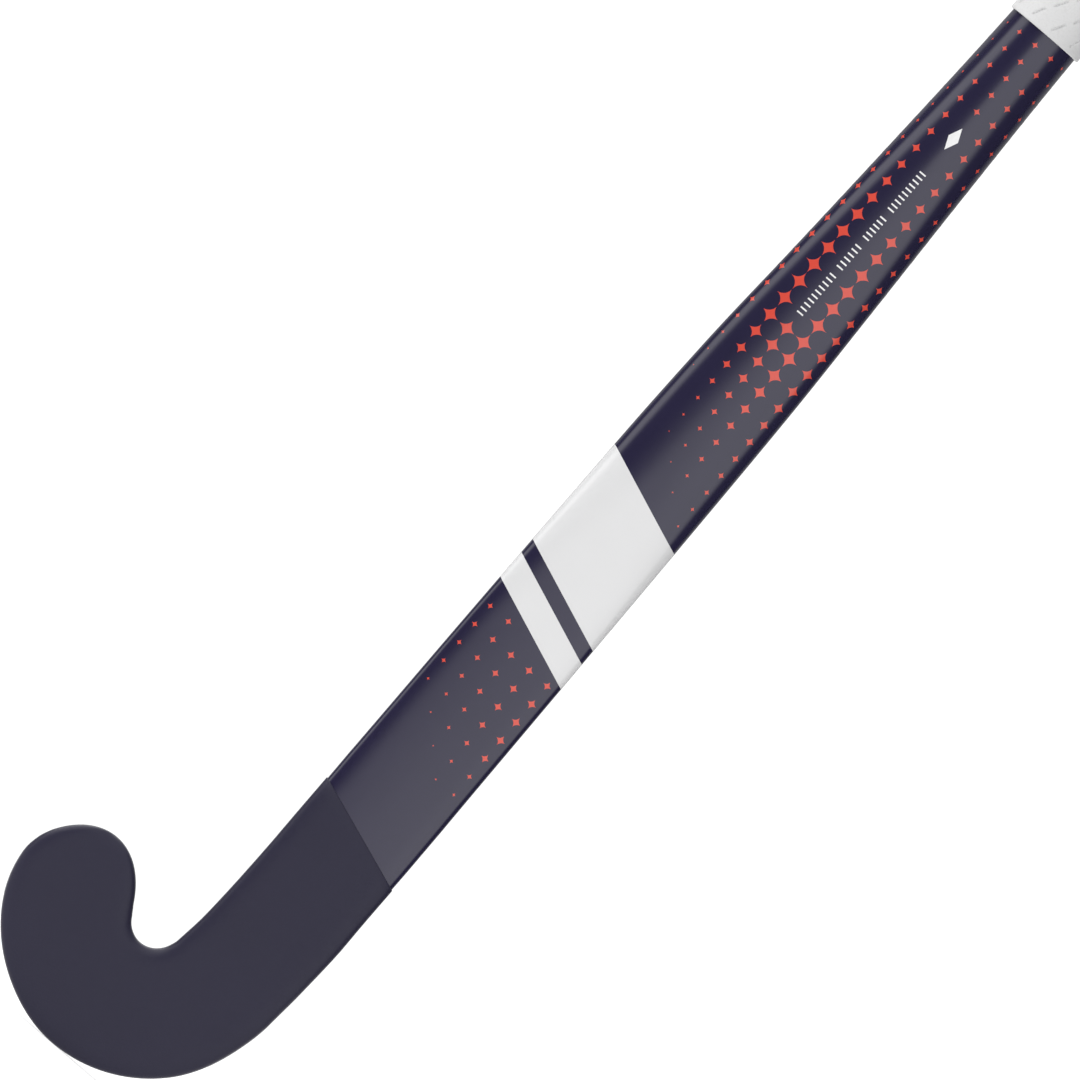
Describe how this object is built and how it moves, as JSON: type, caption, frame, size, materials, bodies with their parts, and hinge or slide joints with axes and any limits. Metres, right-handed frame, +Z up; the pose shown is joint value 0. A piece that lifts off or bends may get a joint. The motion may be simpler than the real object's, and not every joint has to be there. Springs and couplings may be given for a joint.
{
  "type": "field hockey stick",
  "caption": "Composite field hockey stick with a hooked head, a bowed and tapered shaft and a wrapped white grip.",
  "frame": {"origin": "on the handle's axis where the upper hand holds it, 120 mm below the butt", "axes": "+Z up along the handle to the butt, -Y the way the flat playing face looks, -X towards the toe"},
  "size_m": [0.116, 0.0447, 0.927],
  "materials": {
    "lacquer": "glossy clear lacquer over printed laminate",
    "coat": "matte, fine grained",
    "grip": "soft polyurethane chamois with an embossed pattern",
    "underlay": "woven adhesive tape",
    "cap": "matte",
    "plug": "moulded",
    "laminate": "woven carbon laminate",
    "aramid": "woven aramid in resin",
    "glass_ply": "woven glass in resin",
    "foam": "rigid closed-cell foam"
  },
  "bodies": {
    "root": {"stick_shell": "lacquer", "head_core": "foam", "face_patch": "glass_ply", "heel_patch": "aramid", "crook_patch": "aramid", "foam_stop": "foam", "toe_side_tube": "laminate", "heel_side_tube": "laminate", "handle_foam": "foam", "butt_plug": "plug", "head_coat": "coat", "grip_collar": "grip", "grip_underlay": "underlay", "grip_strip": "grip", "butt_cap": "cap"}
  },
  "joints": []
}
